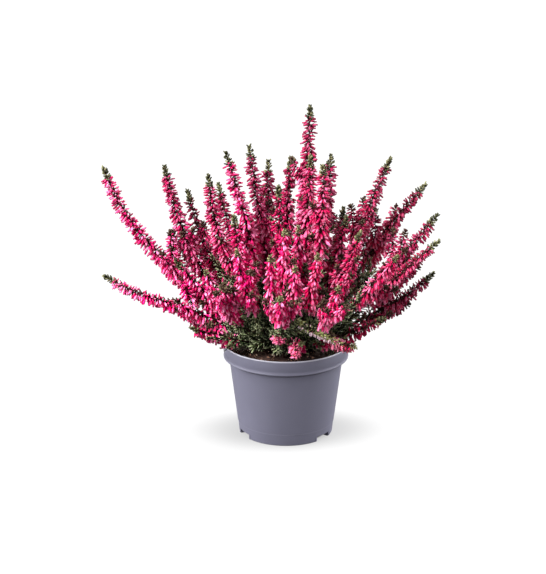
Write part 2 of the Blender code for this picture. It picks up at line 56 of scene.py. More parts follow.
class Wiring:
    # A node tree while it is wired. Each method adds a node and gives its output back.

    def __init__(self, tree):
        self.nodes, self.links = tree.nodes, tree.links

    def put(self, socket, value):
        if isinstance(value, bpy.types.NodeSocket):
            self.links.new(value, socket)
        else:
            socket.default_value = value

    def add(self, kind, inputs, output, **settings):
        node = self.nodes.new("ShaderNode" + kind)
        for name, value in settings.items():
            setattr(node, name, value)
        for label, value in inputs.items():
            self.put(node.inputs[label], value)
        return node.outputs[output]

    def spot(self):
        return self.add("TexCoord", {}, "Object")

    def read(self, name):
        return self.add("Attribute", {}, "Fac", attribute_name=name)

    def maths(self, operation, *values):
        return self.add("Math", dict(enumerate(values)), 0, operation=operation)

    def times(self, first, second):
        return self.maths("MULTIPLY", first, second)

    def step(self, value, low, high, start=0.0, end=1.0):
        # start up to low, end from high on, and a soft rise between them.
        return self.add("MapRange", {"Value": value, "From Min": low, "From Max": high,
                                     "To Min": start, "To Max": end},
                        "Result", interpolation_type="SMOOTHSTEP")

    def mix(self, factor, first, second):
        return self.add("Mix", {"Factor": factor, "A": first, "B": second}, "Result",
                        data_type="RGBA")

    def distance(self, scale):
        # Length of the spot's place, with each axis scaled.
        place = self.add("Mapping", {"Vector": self.spot(), "Scale": scale}, "Vector")
        return self.add("VectorMath", {0: place}, "Value", operation="LENGTH")


class Finish(Wiring):
    # A material with its shader.

    def __init__(self, name, sockets):
        self.material = bpy.data.materials.new(name)
        self.material.use_nodes = True
        super().__init__(self.material.node_tree)
        self.shader = self.nodes["Principled BSDF"]
        for label, value in sockets.items():
            self.put(self.shader.inputs[label], value)

    def effect(self, name, values):
        node = self.nodes.new("ShaderNodeGroup")
        node.node_tree = bpy.data.node_groups[name]
        for label, value in values.items():
            self.put(node.inputs[label], value)
        return node.outputs

    def patchy(self, colour, spread, scale):
        # The colour made uneven, and the noise that it follows.
        made = self.effect("unevenTone", {"Colour": colour, "Spread": spread, "Scale": scale})
        return made["Colour"], made["Height"]

    def picked(self, deep, middle, light):
        # A tone between the three, by each floret's, leaf's or crumb's own chance.
        return self.effect("chanceTone", {"Deep": deep, "Middle": middle, "Light": light,
                                          "Chance": self.read("chance")})["Colour"]

    def finish(self, colour, roughness, bump=None, strength=0.3, distance=0.2):
        self.put(self.shader.inputs["Base Color"], colour)
        self.put(self.shader.inputs["Roughness"], roughness)
        if bump is not None:
            normal = self.add("Bump", {"Strength": strength, "Distance": distance * mm, "Height": bump},
                              "Normal")
            self.put(self.shader.inputs["Normal"], normal)
        return self.material


# Camera, light and floor

camera = {
    "place": (-12.4, -1511.8, 616.5),
    "pitch": 17.36,      # below level
    "lens": 110.35,
    "sensor": 36.0,
}
light = {
    "sky": 0.13,              # strength all round
    "boxes": [                # wide soft boxes: direction, edge and full share, strength
        ((-0.97, -0.14, 0.12), 0.22, 0.97, 4.60),
        ((0.86, 0.50, 0.16), 0.36, 0.97, 5.40),
        ((-0.1, -0.05, 1.0), 0.45, 0.98, 1.10),
    ],
    "sun": (-138, 44, 6.5, 14),    # azimuth from +X, elevation, strength, softness
    "floor": 0.10, "floorGlow": 0.85,    # grey of the floor, and its glow for the lens only
    "floorHalf": 9000,
    # painted shadow on the floor: no glow under the pot, and less glow in an ellipse beside it
    "shadowUnderPot": (36.5, 40.5),      # where the glow starts, from the pot's centre
    "shade": (107, 68), "shadeFull": 0.4, "shadeDepth": 0.34,    # soft shade beside the pot
}


def placeCamera(values):
    lens = bpy.data.cameras.new("photoCamera")
    lens.sensor_fit = "HORIZONTAL"
    lens.sensor_width = values["sensor"]
    lens.lens = values["lens"]
    holder = addObject("photoCamera", lens)
    holder.location = np.array(values["place"]) * mm
    holder.rotation_euler = (math.radians(90 - values["pitch"]), 0, 0)
    bpy.context.scene.camera = holder


def softSky(values):
    # Strength of a direction: the sky's own, and for each box its strength times how far the
    # direction lies inside it. The lens sees plain white instead.
    world = bpy.data.worlds.new("studio")
    bpy.context.scene.world = world
    world.use_nodes = True
    wire = Wiring(world.node_tree)
    spot = wire.add("TexCoord", {}, "Generated")
    total = values["sky"]
    for direction, edge, full, strength in values["boxes"]:
        toward = wire.add("VectorMath", {0: spot, 1: unit(np.array(direction))}, "Value",
                          operation="DOT_PRODUCT")
        total = wire.maths("ADD", wire.step(toward, edge, full, 0.0, strength), total)
    seen = wire.add("LightPath", {}, "Is Camera Ray")
    background = wire.nodes["Background"]
    wire.put(background.inputs["Color"], (1, 1, 1, 1))
    wire.put(background.inputs["Strength"],
             wire.add("Mix", {"Factor": seen, "A": total, "B": 1.0}, "Result"))


def softSun(values, unlitPieces):
    # One soft sun for the plant; the pot and the floor are left to the sky.
    azimuth, elevation, power, softness = values["sun"]
    lamp = bpy.data.lights.new("keyLight", "SUN")
    lamp.energy = power
    lamp.angle = math.radians(softness)
    holder = addObject("keyLight", lamp)
    holder.rotation_euler = (math.radians(90 - elevation), 0, math.radians(azimuth + 90))
    unlit = bpy.data.collections.new("notByTheSun")
    for place, piece in enumerate(unlitPieces):
        unlit.objects.link(piece)
        unlit.collection_objects[place].light_linking.link_state = "EXCLUDE"
    holder.light_linking.receiver_collection = unlit


def layFloor(values):
    # A plain wide plane. Its glow for the lens is floorGlow, with a painted shadow: no glow under the
    # pot, and less shadeDepth inside an ellipse beside the pot, from full at shadeFull of it to none at
    # its edge.
    half = values["floorHalf"] * mm
    mesh = bpy.data.meshes.new("paleFloor")
    mesh.from_pydata([(-half, -half, 0), (half, -half, 0), (half, half, 0), (-half, half, 0)], [],
                     [(0, 1, 2, 3)])
    floor = addObject("paleFloor", mesh)
    look = Finish("paleFloor", {"Base Color": (values["floor"],) * 3 + (1,), "Roughness": 0.9,
                                "Specular IOR Level": 0.1, "Emission Color": (1, 1, 1, 1)})
    wide, deep = np.array(values["shade"]) * mm
    start, end = np.array(values["shadowUnderPot"]) * mm
    glow = look.times(look.add("LightPath", {}, "Is Camera Ray"), values["floorGlow"])
    # painted shadow: no glow under the pot, then less glow in the ellipse beside it
    glow = look.times(look.step(look.distance((1, 1, 1)), start, end), glow)
    shade = look.step(look.distance((1 / wide, 1 / deep, 1)), values["shadeFull"], 1.0,
                      1 - values["shadeDepth"], 1.0)
    look.put(look.shader.inputs["Emission Strength"], look.times(shade, glow))
    mesh.materials.append(look.material)
    return floor


# Surfaces: every new piece is a set of arrays, joined into one mesh

def unit(vectors):
    return vectors / np.linalg.norm(vectors, axis=-1, keepdims=True)


def onCircle(angles):
    return np.stack([np.cos(angles), np.sin(angles)], -1)


def circleSteps(count):
    return onCircle(np.linspace(0, 2 * math.pi, count, endpoint=False))


def between(pair, shares):
    # The pair's first value at a share of 0, its second at 1.
    return pair[0] + (pair[1] - pair[0]) * shares


def aroundOne(spread, count, draw):
    # Factors up to spread away from 1.
    return draw.uniform(1 - spread, 1 + spread, count)


def ringFaces(count, rings, sides):
    # Four-sided faces between the rings of many tubes, and one face over each end.
    index = np.arange(count * rings * sides).reshape(count, rings, sides)
    onward = np.roll(index, -1, axis=2)
    walls = np.stack([index[:, :-1], onward[:, :-1], onward[:, 1:], index[:, 1:]], -1)
    ends = np.concatenate([index[:, 0, ::-1], index[:, -1]])
    return [walls.reshape(-1, 4), ends]


def sweep(paths, headings, radii, across, sides, flat=1.0):
    # Rings of points along many paths at once.
    # A point is centre + radius * (cos(angle) * side + flat * sin(angle) * over), where side is
    # the part of across that is square to the heading, and over is heading x side.
    headings = unit(headings)
    side = unit(across - (across * headings).sum(-1, keepdims=True) * headings)
    over = np.cross(headings, side)
    circle = circleSteps(sides)
    ring = circle[:, :1] * side[:, :, None] + flat * circle[:, 1:] * over[:, :, None]
    return paths[:, :, None] + radii[..., None, None] * ring


def surface(points, material=0, **values):
    # One part of a piece: swept points (tube, ring, side, xyz) with values for each point.
    count, rings, sides = points.shape[:3]
    spread = {name: np.broadcast_to(value, (count, rings, sides)).ravel()
              for name, value in values.items()}
    return {"points": points.reshape(-1, 3), "faces": ringFaces(count, rings, sides),
            "values": spread, "material": material}


def buildPiece(name, parts, materials, smooth=True):
    # Join parts into one mesh object that rides on the plant's one body.
    starts = np.cumsum([0] + [len(part["points"]) for part in parts])
    loops, sizes, kinds = [], [], []
    for start, part in zip(starts, parts):
        for faces in part["faces"]:
            loops.append((faces + start).ravel())
            sizes.append(np.full(len(faces), faces.shape[1]))
            kinds.append(np.full(len(faces), part["material"]))
    loops, sizes, kinds = np.concatenate(loops), np.concatenate(sizes), np.concatenate(kinds)
    mesh = bpy.data.meshes.new(name)
    mesh.vertices.add(int(starts[-1]))
    points = np.concatenate([part["points"] for part in parts]) * mm
    mesh.vertices.foreach_set("co", points.ravel())
    mesh.loops.add(len(loops))
    mesh.loops.foreach_set("vertex_index", loops)
    mesh.polygons.add(len(sizes))
    mesh.polygons.foreach_set("loop_start", np.concatenate([[0], np.cumsum(sizes)[:-1]]))
    mesh.polygons.foreach_set("material_index", kinds)
    mesh.polygons.foreach_set("use_smooth", np.full(len(sizes), smooth))
    mesh.update(calc_edges=True)
    names = sorted({key for part in parts for key in part["values"]})
    for key in names:
        held = [part["values"].get(key, np.zeros(len(part["points"]))) for part in parts]
        mesh.attributes.new(key, "FLOAT", "POINT").data.foreach_set("value", np.concatenate(held))
    mesh.validate()
    for material in materials:
        mesh.materials.append(material)
    piece = addObject(name, mesh)
    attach(piece, "root")
    return piece


# Stems: where every spray and shoot runs. The rows and the rule are the solids' own

stems = {
    # Feet on the soil: height, largest reach, least distance, and how they are pushed apart
    "footHeight": 84.5, "footSpread": 27, "footPitch": 6.6, "footRounds": 600, "footPush": 0.3,
    "leastReach": 0.02, "buried": 8,
    # Curves: share of the length in each handle, and room round bare stems and round flowers
    "handle": 0.36, "samples": 18, "rounds": 70, "push": 0.16, "crowdFrom": 12,
    "clear": 5.5, "sprayClear": 17, "steps": 160,
    # Where flowers start, and the bare tuft at the tip
    "flowerStart": 44, "startShare": 0.42, "tuft": 11,
    "radii": (1.35, 0.4), "knots": 0.10, "rings": 32,    # at the foot and at the tip
}

# Tip (x, y, z), lean from upright at the soil and at the tip, fullness
flowerSprays = [
    (-168, -10, 261, 37, 19, 1.0), (-168, -28, 163, 42, 50, 0.8), (-113, 6, 259, 46, 10, 1.0),
    (-93, 28, 230, 36, 10, 0.7), (-72, -5, 253, 26, 4, 1.0), (-55, -22, 278, 3, 18, 1.0),
    (-34, 6, 278, 3, 6, 0.9), (-17, 28, 259, 6, 4, 0.9), (-7, -30, 248, 6, 14, 0.7),
    (4, 14, 265, 4, 4, 0.9), (22, 12, 314, 0, 5, 1.0), (22, -20, 274, 10, 2, 1.0),
    (33, -34, 270, 20, 0, 1.0), (42, 20, 266, 16, 4, 1.0), (96, 5, 266, 30, 24, 1.0),
    (131, 25, 237, 34, 44, 0.9), (140, -5, 215, 38, 36, 0.9), (139, -32, 197, 50, 44, 0.8),
    (137, -16, 162, 44, 48, 0.8), (54, 48, 194, 30, 20, 0.8), (-2, -62, 217, 20, 14, 1.0),
    (11, -46, 216, 16, 10, 1.0), (-45, -72, 201, 30, 12, 1.0), (-15, -88, 200, 30, 16, 1.0),
    (7, -104, 195, 36, 26, 0.9), (-73, -72, 182, 40, 22, 1.0), (46, -96, 174, 44, 30, 0.9),
    (-6, -118, 171, 38, 42, 0.9), (-102, -30, 179, 40, 26, 0.9), (-48, -40, 223, 24, 8, 0.7),
    (55, -22, 218, 24, 10, 0.9), (67, -40, 208, 32, 20, 1.0), (101, -52, 190, 42, 34, 0.9),
    (28, -74, 198, 28, 14, 1.0), (92, -34, 124, 46, 72, 0.7), (64, -66, 106, 30, 104, 0.6),
    (13, -72, 112, 34, 76, 0.7), (-95, -14, 120, 46, 66, 0.6), (-88, -50, 120, 44, 60, 0.7),
]
# The far side repeats the near side's habit: count, reach, tip height, lean at soil, at tip
backRows = [(6, 126, 172, 44, 36), (4, 72, 224, 22, 12)]
backSector = (20, 160)
backTurn, backRise = 5, 14    # largest shifts, in degrees and millimetres
backReaches, backFullness = (0.88, 1.06), (0.8, 1.0)
backSeed = 11
leafyShoots = [
    (68, -62, 160, 40, 24, 1.0), (-73, -64, 115, 48, 80, 0.9), (-30, -56, 103, 30, 112, 1.1),
    (-8, -60, 101, 40, 100, 0.8), (72, 30, 116, 44, 66, 1.0), (-78, 48, 126, 44, 66, 1.0),
    (-20, 92, 122, 40, 70, 1.0), (48, 80, 118, 40, 74, 1.0),
]


def backSprays():
    # Rows of the far side: even steps of the sector, each with a small seeded shift.
    draw = random.Random(backSeed)
    rows = []
    for count, reach, height, footLean, tipLean in backRows:
        for place in range(count):
            azimuth = backSector[0] + (backSector[1] - backSector[0]) * (place + 0.5) / count
            azimuth = math.radians(azimuth + draw.uniform(-backTurn, backTurn))
            far = reach * draw.uniform(*backReaches)
            rise = height + draw.uniform(-backRise, backRise)
            rows.append((far * math.cos(azimuth), far * math.sin(azimuth), rise, footLean, tipLean,
                         draw.uniform(*backFullness)))
    return rows


def pushApart(points, room, others, least):
    # Sum of the moves that take each point from the others that stand closer than room.
    offsets = points[:, None] - points[None]
    distances = np.linalg.norm(offsets, axis=2) + least
    push = np.where(others, np.clip(room - distances, 0, None), 0.0)
    return (offsets / distances[..., None] * push[..., None]).sum(1)


def spreadFeet(azimuths, reaches, values):
    # Feet on the soil: radius grows with the root of the tip's reach, then they push apart.
    radii = values["footSpread"] * np.sqrt(np.clip(reaches / reaches.max(), values["leastReach"], 1.0))
    feet = radii[:, None] * onCircle(azimuths)
    same = np.eye(len(feet))
    for _ in range(values["footRounds"]):
        moves = pushApart(feet, values["footPitch"], same == 0, same * mm)
        feet = feet + values["footPush"] * moves
    return feet


def leaning(azimuths, leans):
    # Unit directions that lean from upright towards their azimuth.
    leans = np.radians(leans)
    return np.column_stack([np.sin(leans)[:, None] * onCircle(azimuths), np.cos(leans)])


def cubicWeights(fractions):
    # Weights of a cubic curve's four control points, a row for each fraction.
    u = np.asarray(fractions)[:, None]
    return np.hstack([(1 - u) ** 3, 3 * u * (1 - u) ** 2, 3 * u * u * (1 - u), u ** 3])


def stemControls(rows, values):
    # Control points of every stem's cubic curve, whose inner two are pushed apart in rounds.
    tips, footLeans, tipLeans = rows[:, :3], rows[:, 3], rows[:, 4]
    azimuths = np.arctan2(tips[:, 1], tips[:, 0])
    reaches = np.hypot(tips[:, 0], tips[:, 1])
    feet = np.column_stack([spreadFeet(azimuths, reaches, values),
                            np.full(len(tips), values["footHeight"])])
    outward = np.arctan2(tips[:, 1] - feet[:, 1], tips[:, 0] - feet[:, 0])
    lengths = values["handle"] * np.linalg.norm(tips - feet, axis=1)[:, None]
    controls = np.stack([feet, feet + lengths * leaning(outward, footLeans),
                         tips - lengths * leaning(outward, tipLeans), tips], 1)
    weights = cubicWeights(np.linspace(0, 1, values["samples"]))
    owner = np.repeat(np.arange(len(tips)), values["samples"])
    others = owner[:, None] != owner[None]
    for _ in range(values["rounds"]):
        points = np.einsum("sk,nkd->nsd", weights, controls)
        height = np.linalg.norm(points - feet[:, None], axis=2).ravel()
        share = np.clip((height - values["crowdFrom"]) / values["flowerStart"], 0, 1)
        room = between((values["clear"], values["sprayClear"]),
                       np.minimum(share[:, None], share[None]))
        moves = pushApart(points.reshape(-1, 3), room, others, 1e-6).reshape(points.shape)
        for control in (1, 2):
            weight = weights[:, control]
            controls[:, control] += (values["push"] * np.einsum("s,nsd->nd", weight, moves)
                                     / weight.sum())
    return controls


class Line:
    # A curve in space that can be read at distances along it, in millimetres.

    def __init__(self, points):
        self.points = points
        steps = np.linalg.norm(np.diff(points, axis=0), axis=1)
        self.along = np.concatenate([[0], np.cumsum(steps)])
        self.length = self.along[-1]
        self.slopes = unit(np.gradient(points, axis=0))
        away = points[-1, :2] - points[0, :2]
        away = away / (np.linalg.norm(away) + 1e-9)
        self.level = np.array([-away[1], away[0], 0.0])

    def read(self, distances):
        # Points and headings at the distances, by straight steps between samples.
        places = np.stack([np.interp(distances, self.along, self.points[:, k]) for k in range(3)], 1)
        ways = np.stack([np.interp(distances, self.along, self.slopes[:, k]) for k in range(3)], 1)
        return places, unit(ways)

    def outward(self, ways, angles):
        # Directions square to the curve: cos(angle) * side + sin(angle) * over.
        side = unit(self.level - (ways @ self.level)[:, None] * ways)
        over = np.cross(ways, side)
        return np.cos(angles)[:, None] * side + np.sin(angles)[:, None] * over


def stemLines(values):
    # Every stem as a line, and its fullness: flower sprays first, then leafy shoots.
    rows = np.array([*flowerSprays, *backSprays(), *leafyShoots], float)
    curves = cubicWeights(np.linspace(0, 1, values["steps"])) @ stemControls(rows, values)
    return [Line(curve) for curve in curves], rows[:, 5]


# Florets: small hanging urns on thin stalks, in golden-angle order up each spray

floret = {
    "spacing": 0.36,         # of stem for each floret
    "fewest": 6,
    "thinning": 0.88,        # power that closes the order towards the tip
    "bunch": 3, "bunchTurn": (0.45, 1.2),    # florets that stand together, and how far they fan
    "stalk": (0.8, 5.4), "stalkTip": 0.5, "stalkRadius": 0.3,
    "stalkPower": 1.2,       # above 1, short stalks are the more common
    "stalkWay": (0.8, 0.35),    # share out from the stem, and share the floret's own way
    "length": 8.2, "halfWidth": 1.42,
    "droop": (1.25, 0.1),    # weight of down against out, at the foot and at the tip of a spray
    "under": 0.8,            # how far florets gather on the under side of a level stem
    "skySide": 0.45,         # how much shorter florets are on the upper side
    "sizes": (0.92, 0.6),    # at the foot and at the tip
    "full": 0.3,             # share of the spray where florets have their full size
    "uneven": 0.2, "droopUneven": 0.3, "sway": 0.26,
    "places": (0.0, 0.55, 1.0),    # of the length, from the floret's base
    "widths": (0.45, 1.0, 0.68),   # of the half width
    "sides": 5,
}
nearFloret = {**floret, "droop": (1.9, 1.0)}
paleFloret = {**floret, "droop": (2.2, 1.6), "under": 1.5, "length": 6.2, "stalk": (0.6, 1.8)}


def makeFlorets(line, distances, shares, size, values, chances, draw):
    # A floret is a stalk that leaves the stem square and a body whose heading is
    # out - droop * up; its half width follows the list of widths. Bunches go up the stem by the
    # golden angle, less under * level * cos(turn), and a bunch has one length of stalk.
    count = len(distances)
    places, ways = line.read(distances)
    bunches = np.arange(count) // values["bunch"]
    fan = draw.normal(0, 1, count) * between(values["bunchTurn"], shares)
    turns = np.radians(goldenTurn * bunches) + fan
    turns = turns - values["under"] * (1 - ways[:, 2] ** 2) * np.cos(turns)
    out = line.outward(ways, turns)
    sky = np.clip(out[:, 2], 0, 1)
    droop = between(values["droop"], shares) * (1 - sky) * aroundOne(values["droopUneven"], count, draw)
    heading = out - droop[:, None] * upward
    heading = unit(heading + draw.normal(0, values["sway"], (count, 3)))
    late = np.clip((shares - values["full"]) / (1 - values["full"]), 0, 1)
    sizes = size * between(values["sizes"], late) * aroundOne(values["uneven"], count, draw)
    sizes = sizes * (1 - values["skySide"] * sky)
    shortest, longest = values["stalk"]
    longest = longest * (1 - (1 - values["stalkTip"]) * shares)
    stalks = sizes * between((shortest, longest), draw.random(count)[bunches] ** values["stalkPower"])
    outShare, headShare = values["stalkWay"]
    base = places + stalks[:, None] * (outShare * out + headShare * heading)
    reach = (values["length"] * sizes)[:, None, None] * np.array(values["places"])[None, :, None]
    body = base[:, None] + reach * heading[:, None]
    paths = np.concatenate([places[:, None], body], 1)
    headings = np.repeat(heading[:, None], paths.shape[1], 1)
    headings[:, 0] = out
    widths = values["halfWidth"] * sizes[:, None] * np.array(values["widths"])
    radii = np.concatenate([np.full((count, 1), values["stalkRadius"]), widths], 1)
    points = sweep(paths, headings, radii, np.cross(ways, out)[:, None], values["sides"])
    # The stalk's foot reads 0 along, the body from 0.1 to 1.
    along = np.array([0.0, *np.clip(values["places"], 0.1, 1)])[None, :, None]
    # alternate sides carry a pale sepal edge and a painted highlight
    streak = (np.arange(values["sides"]) % 2)[None, None]
    return surface(points, 0, along=along, streak=streak, chance=chances[:, None, None],
                   share=shares[:, None, None])


# Needles: narrow leaves in whorls of four

needle = {
    "length": 8.4, "halfWidth": 0.85, "flat": 0.6, "whorl": 4, "uneven": 0.22,
    "places": (0.0, 0.6, 1.0), "widths": (0.5, 1.0, 0.45), "curl": 0.06, "sides": 3,
    # Spread of each needle: round the stem in radians, along it, in lean, in freshness
    "turnSway": 0.2, "alongSway": 0.25, "leanSway": 7, "freshSway": 0.08,
}
# The blunt leaves of the tufts and among the florets, and the small ones in front
bluntNeedle = {**needle, "length": 4.4, "halfWidth": 1.1, "flat": 0.8, "widths": (0.4, 1.0, 0.75),
               "curl": 0.1}
nearNeedle = {**bluntNeedle, "length": 3.4, "halfWidth": 0.9}


def makeNeedles(line, distances, lengths, leans, fresh, values, draw, wine=0.0, light=0.0):
    # A needle leans from the stem's way and curls back to it with the square of its length.
    # Each whorl is turned half a step against the one below it.
    whorl, whorls = values["whorl"], len(distances)
    count = whorls * whorl
    lengths, leans, fresh = (np.repeat(np.broadcast_to(value, whorls), whorl)
                             for value in (lengths, leans, fresh))
    halfSteps = np.repeat(np.arange(whorls), whorl) + 2 * np.tile(np.arange(whorl), whorls)
    turns = halfSteps * math.pi / whorl + draw.normal(0, values["turnSway"], count)
    places, ways = line.read(np.repeat(distances, whorl) + draw.normal(0, values["alongSway"], count))
    out = line.outward(ways, turns)
    leans = np.radians(leans + draw.normal(0, values["leanSway"], count))[:, None]
    heading = np.sin(leans) * out + np.cos(leans) * ways
    lengths = (lengths * aroundOne(values["uneven"], count, draw))[:, None, None]
    shares = np.array(values["places"])
    along, curl = shares[None, :, None], values["curl"]
    paths = (places[:, None] + along * lengths * heading[:, None]
             + curl * along ** 2 * lengths * ways[:, None])
    headings = heading[:, None] + 2 * curl * along * ways[:, None]
    radii = np.broadcast_to(values["halfWidth"] * np.array(values["widths"]), (count, len(shares)))
    points = sweep(paths, headings, radii, np.cross(ways, out)[:, None], values["sides"],
                   values["flat"])
    fresh = np.clip(fresh + draw.normal(0, values["freshSway"], count), 0, 1)
    return surface(points, 1, along=along, chance=draw.random(count)[:, None, None],
                   fresh=fresh[:, None, None], wine=wine, light=light)


def makeStem(line, draw, radii, buried=0.0, rings=stems["rings"], sides=6):
    # A round stem whose radius falls with the root of the way from foot to tip, with small knots.
    shares = np.linspace(0, 1, rings)
    places, ways = line.read(shares * line.length)
    radii = between(radii, np.sqrt(shares)) * (1 + stems["knots"] * draw.standard_normal(rings))
    if buried:
        places = np.vstack([places[0] - (0, 0, buried), places])
        ways = np.vstack([upward, ways])
        radii, shares = np.concatenate([radii[:1], radii]), np.concatenate([[0], shares])
    points = sweep(places[None], ways[None], radii[None], line.level[None, None], sides)
    return surface(points, 0, share=shares[None, :, None], chance=0.5)


# Foliage on one spray

foliage = {
    "lowStep": 3.2, "lowFrom": 5, "lowOver": 6, "lowLean": 46, "lowFresh": (0.0, 0.3),
    "amongStep": 4.8, "amongLean": 48, "amongWine": 0.9,
    "tuftStep": 1.7, "tuftShorter": 0.3, "tuftLean": (72, 26), "tuftPower": 1.5, "tuftFresh": 0.95,
}
twigs = {
    "count": 4, "length": (22, 44), "from": 7, "to": 0.9,    # to: share of the leafy stem
    "lowTip": 110, "least": 0.55,    # shorter where the stem's own tip is low
    "turn": (35, 65), "rise": (0.1, 0.35), "radii": (0.55, 0.3), "rings": 8, "sides": 4,
    "leafStep": 4.0, "leafFrom": 2.0, "leafShorter": 0.35, "lean": 38, "leanCloser": 0.6,
    "fresh": (0.15, 0.70),
}


def sideLine(line, start, turn, lean, length, rise):
    # A side branch: leaves the stem at a lean from its way and bends up by a share of its length.
    places, ways = line.read(np.array([start]))
    out = line.outward(ways, np.array([turn]))[0]
    heading = math.sin(lean) * out + math.cos(lean) * ways[0]
    steps = np.linspace(0, 1, 24)[:, None]
    return Line(places[0] + length * (steps * heading + rise * steps ** 2 * upward))


def twigParts(line, first, values, draw):
    # Leafy twigs low on the stem. The longest is length * (tip height / lowTip - 1), kept
    # between least and 1 of its length.
    shortest, longest = values["length"]
    longest = longest * np.clip(line.points[-1, 2] / values["lowTip"] - 1, values["least"], 1)
    parts = []
    for _ in range(values["count"]):
        start = draw.uniform(values["from"], max(values["from"] + 4, first * values["to"]))
        twig = sideLine(line, start, draw.uniform(0, 2 * math.pi),
                        math.radians(draw.uniform(*values["turn"])), draw.uniform(shortest, longest),
                        draw.uniform(*values["rise"]))
        distances = np.arange(values["leafFrom"], twig.length, values["leafStep"])
        shares = distances / twig.length
        parts.append(makeStem(twig, draw, values["radii"], rings=values["rings"],
                              sides=values["sides"]))
        parts.append(makeNeedles(twig, distances, needle["length"] * (1 - values["leafShorter"] * shares),
                                 values["lean"] * (1 - values["leanCloser"] * shares ** 3),
                                 between(values["fresh"], shares ** 2), needle, draw))
    return parts


def tuftPart(line, last, leaf, draw, wine=0.0, light=0.0):
    # Whorls that shorten and close towards the tip of a spray.
    distances = np.arange(last, line.length - 0.5, foliage["tuftStep"])
    shares = (distances - last) / (line.length - last)
    return makeNeedles(line, distances, leaf["length"] * (1 - foliage["tuftShorter"] * shares),
                       between(foliage["tuftLean"], shares ** foliage["tuftPower"]),
                       foliage["tuftFresh"], leaf, draw, wine, light)


def greenParts(line, first, last, leaf, light, draw):
    # A spray's stem, its needles low down and among the florets, its tuft and its twigs.
    green = [makeStem(line, draw, stems["radii"], stems["buried"])]
    low = np.arange(foliage["lowFrom"], first + foliage["lowOver"], foliage["lowStep"])
    fresh = draw.uniform(*foliage["lowFresh"], len(low))
    green.append(makeNeedles(line, low, needle["length"], foliage["lowLean"], fresh, needle, draw))
    among = np.arange(first, last, foliage["amongStep"])
    green.append(makeNeedles(line, among, bluntNeedle["length"], foliage["amongLean"], 0.0,
                             bluntNeedle, draw, foliage["amongWine"]))
    green.append(tuftPart(line, last, leaf, draw, light=light))
    return green + twigParts(line, first, twigs, draw)


# One spray: florets in one piece, stem and needles in another

sprayHabit = {
    "sizes": (0.80, 1.0),    # of the florets, from an empty to a full spray
    "overLeaves": 3, "overTuft": 2,    # how far florets reach past both ends
    "sideSpikes": (1, 2), "spikeFrom": 0.08, "spikeTo": 0.45, "spikeLength": (13, 25),
    "spikeLean": (24, 42), "spikeRise": 0.18, "spikeFirst": 4, "spikeTuft": 4,
    "spikeSize": 0.86, "spikeRadii": (0.5, 0.3), "spikeWine": 0.6, "dusk": 0.5,
    "nearFrom": 30, "nearTuft": 0.4, "nearLight": 0.12,    # sprays that come out towards the front
}
bushyHabit = {**sprayHabit, "spikeFrom": -0.04, "spikeTo": 0.4, "spikeLength": (20, 34)}
# How many more and longer side spikes these sprays have, by number
bushySprays = {1: 5, 2: 3, 3: 3, 7: 2, 8: 1, 14: 2, 15: 3, 16: 4, 17: 4, 18: 4, 19: 4, 23: 2, 24: 1,
               26: 3, 27: 2, 28: 2, 30: 3, 32: 3}
# Share of the florets that these carry
sparseSprays = {4: 0.6, 9: 0.6, 35: 0.5, 36: 0.7, 37: 0.35, 38: 0.6}
# Share of the stem that these leave to leaves
lateSprays = {3: 0.4, 4: 0.48, 5: 0.42, 6: 0.4, 7: 0.4, 8: 0.42, 9: 0.5, 10: 0.52, 11: 0.5, 12: 0.5,
              13: 0.5, 14: 0.5, 15: 0.48, 16: 0.5, 17: 0.5, 18: 0.45, 19: 0.42, 21: 0.5, 22: 0.44,
              23: 0.5, 24: 0.52, 25: 0.6, 26: 0.48, 27: 0.57, 28: 0.68, 29: 0.42, 30: 0.36, 31: 0.5,
              32: 0.5, 33: 0.52, 34: 0.52}
# Warmth grows to the right; gloom, a painted shade, grows to the back and the right, and falls on the far
# side
toneRule = {"warmth": 0.44, "warmRight": 280, "warmSway": 0.12,
            "gloom": 0.75, "gloomBack": 80, "gloomRight": 500, "farGloom": 1.6, "farBack": 90}
# Branches that hang low in front: the spray they belong to, where on its stem, the curve's
# other control points, how light its leaves are, and its flowers as from, to, amount and how pale
hangingBranches = [
    (25, 0.41, [(21.5, -62, 121.5), (41, -62, 112.5), (60, -54, 101)], 0.8,
     [(0.12, 0.98, 0.55, 0.95), (0.66, 1.0, 1.3, 0.2)]),
    (24, 0.17, [(-9, -46, 114), (-7, -58, 120), (-7, -68, 112)], 0.0, [(0.55, 1.0, 2.8, 0.1)]),
    (37, 0.35, [(3, -58, 112), (10, -74, 112), (9, -71, 99)], 0.0, [(0.48, 1.0, 2.2, 0.1)]),
]
hangingHabit = {"size": 0.75, "radii": (0.7, 0.4), "rings": 20, "leafFrom": 2.0, "fresh": 0.5,
                "lightStep": 2.72, "leafStep": 6.8}    # between whorls, light leaves and others


def bloomPart(line, first, last, size, draw, amount=1.0, values=floret, dusk=1.0):
    # The order of florets from first to last along a line; amount thins it, dusk darkens it.
    count = max(values["fewest"], int((last - first) / values["spacing"] * amount))
    order = ((np.arange(count) + 0.5) / count) ** values["thinning"]
    return makeFlorets(line, first + (last - first) * order, order, size, values,
                       draw.random(count) * dusk, draw)


def spikeParts(line, first, last, size, habit, draw, manner):
    # A side spike from among the florets: its own florets, and its stem and tuft.
    share = draw.uniform(habit["spikeFrom"], habit["spikeTo"])
    spike = sideLine(line, first + share * (last - first), draw.uniform(0, 2 * math.pi),
                     math.radians(draw.uniform(*habit["spikeLean"])),
                     draw.uniform(*habit["spikeLength"]), habit["spikeRise"])
    tuft = spike.length - habit["spikeTuft"]
    bloom = bloomPart(spike, habit["spikeFirst"], tuft + 1, size * habit["spikeSize"], draw, **manner)
    stem = makeStem(spike, draw, habit["spikeRadii"], rings=twigs["rings"], sides=twigs["sides"])
    return bloom, [stem, tuftPart(spike, tuft, bluntNeedle, draw, habit["spikeWine"])]


